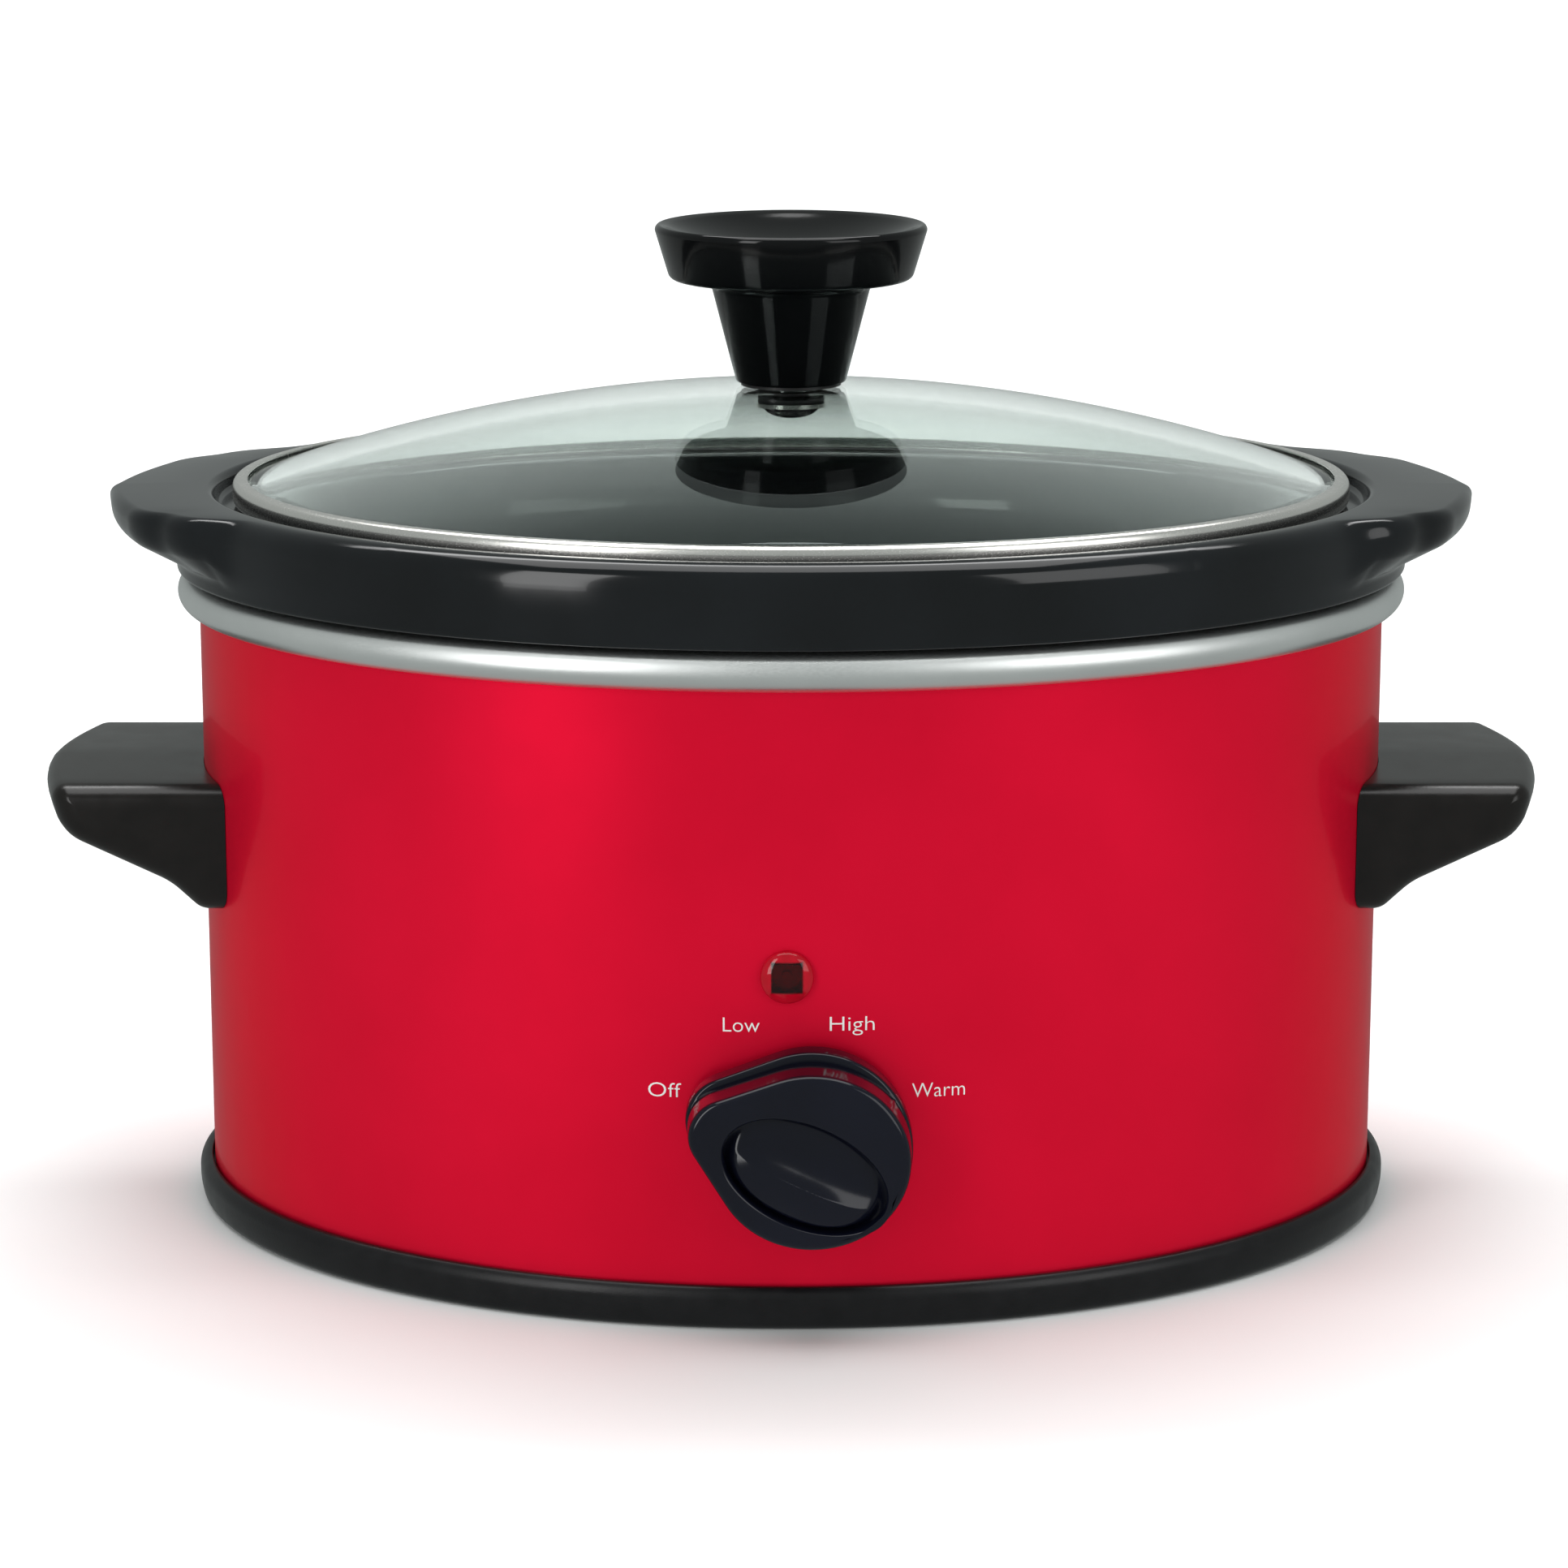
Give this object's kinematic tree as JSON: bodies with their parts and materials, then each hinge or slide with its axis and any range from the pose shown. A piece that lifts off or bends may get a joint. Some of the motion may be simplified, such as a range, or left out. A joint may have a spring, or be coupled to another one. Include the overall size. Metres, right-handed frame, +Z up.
{
  "type": "slow cooker",
  "caption": "Oval countertop slow cooker: painted steel heating base with rotary control, lift-out glazed crock and domed glass lid.",
  "frame": {"origin": "middle of the base ring's resting face", "axes": "+X along the oval's long way, towards the right-hand handle as seen from the control side; -Y towards the control knob; +Z up"},
  "size_m": [0.284, 0.1925, 0.1857],
  "materials": {
    "red_paint": "metallic gloss red",
    "satin_steel": "satin aluminised steel",
    "zinc_steel": "zinc plated",
    "spring_steel": "drawn spring steel",
    "shield_aluminium": "mill finish",
    "mica": "mica sheet",
    "heater_ribbon": "oxidised resistance ribbon",
    "glass_fibre": "glass fibre blanket",
    "fuse_can": "small metal can",
    "base_plastic": "fine textured black",
    "foot_rubber": "soft rubber",
    "handle_phenolic": "moulded phenolic",
    "switch_plastic": "moulded cream",
    "brass": "machined",
    "red_lens": "dark red polycarbonate",
    "lamp_glass": "neon lamp envelope",
    "resistor_body": "coated resistor",
    "lead_black": "silicone insulation",
    "lead_white": "silicone insulation",
    "lead_blue": "silicone insulation",
    "lead_red": "silicone insulation",
    "connector_plastic": "nylon end connector",
    "gland_plastic": "nylon bush",
    "black_glaze": "glossy black glaze",
    "lid_glass": "pale green tempered glass",
    "lid_steel": "polished stainless steel",
    "knob_phenolic": "moulded phenolic",
    "gasket_silicone": "silicone",
    "dark_screw": "black oxide",
    "control_plastic": "gloss blue-black"
  },
  "bodies": {
    "base": {"outer_shell": "red_paint", "heating_well": "satin_steel", "well_bracket": "zinc_steel", "heat_shield": "shield_aluminium", "heater_inner_sheet": "mica", "heater_element": "heater_ribbon", "heater_outer_sheet": "mica", "heater_strap": "zinc_steel", "strap_springs": "spring_steel", "insulation_blanket": "glass_fibre", "thermal_fuse": "fuse_can", "fuse_clip": "zinc_steel", "base_pan": "base_plastic", "base_screws": "zinc_steel", "rubber_feet": "foot_rubber", "rating_plate": "shield_aluminium", "handle_left": "handle_phenolic", "handle_right": "handle_phenolic", "handle_screws": "zinc_steel", "handle_plates": "zinc_steel", "switch_body": "switch_plastic", "switch_terminals": "brass", "switch_nut": "zinc_steel", "indicator_lens": "red_lens", "lamp_clip": "spring_steel", "neon_lamp": "lamp_glass", "lamp_resistor": "resistor_body", "lead_live": "lead_black", "lead_neutral": "lead_white", "lead_low": "lead_blue", "lead_high": "lead_red", "lead_lamp": "lead_white", "crimp_connectors": "connector_plastic", "cord_gland": "gland_plastic"},
    "crock": {"crock": "black_glaze"},
    "lid": {"lid_glass": "lid_glass", "lid_rim": "lid_steel", "lid_knob": "knob_phenolic", "lid_insert": "brass", "lid_gasket": "gasket_silicone", "lid_bushing": "gasket_silicone", "lid_washer": "lid_steel", "lid_screw": "dark_screw"},
    "control_knob": {"control_knob": "control_plastic", "knob_clip": "spring_steel", "switch_shaft": "zinc_steel", "switch_rotor": "switch_plastic"}
  },
  "joints": [
    {"name": "crock_lift", "type": "slide", "parent": "base", "child": "crock", "axis": [0, 0, 1], "range_m": [0, 0.13]},
    {"name": "lid_lift", "type": "slide", "parent": "crock", "child": "lid", "axis": [0, 0, 1], "range_m": [0, 0.1]},
    {"name": "knob_turn", "type": "hinge", "parent": "base", "child": "control_knob", "pos_m": [0.0012, -0.09, 0.0354], "axis": [0, 1, 0], "range_deg": [0, 135]}
  ]
}
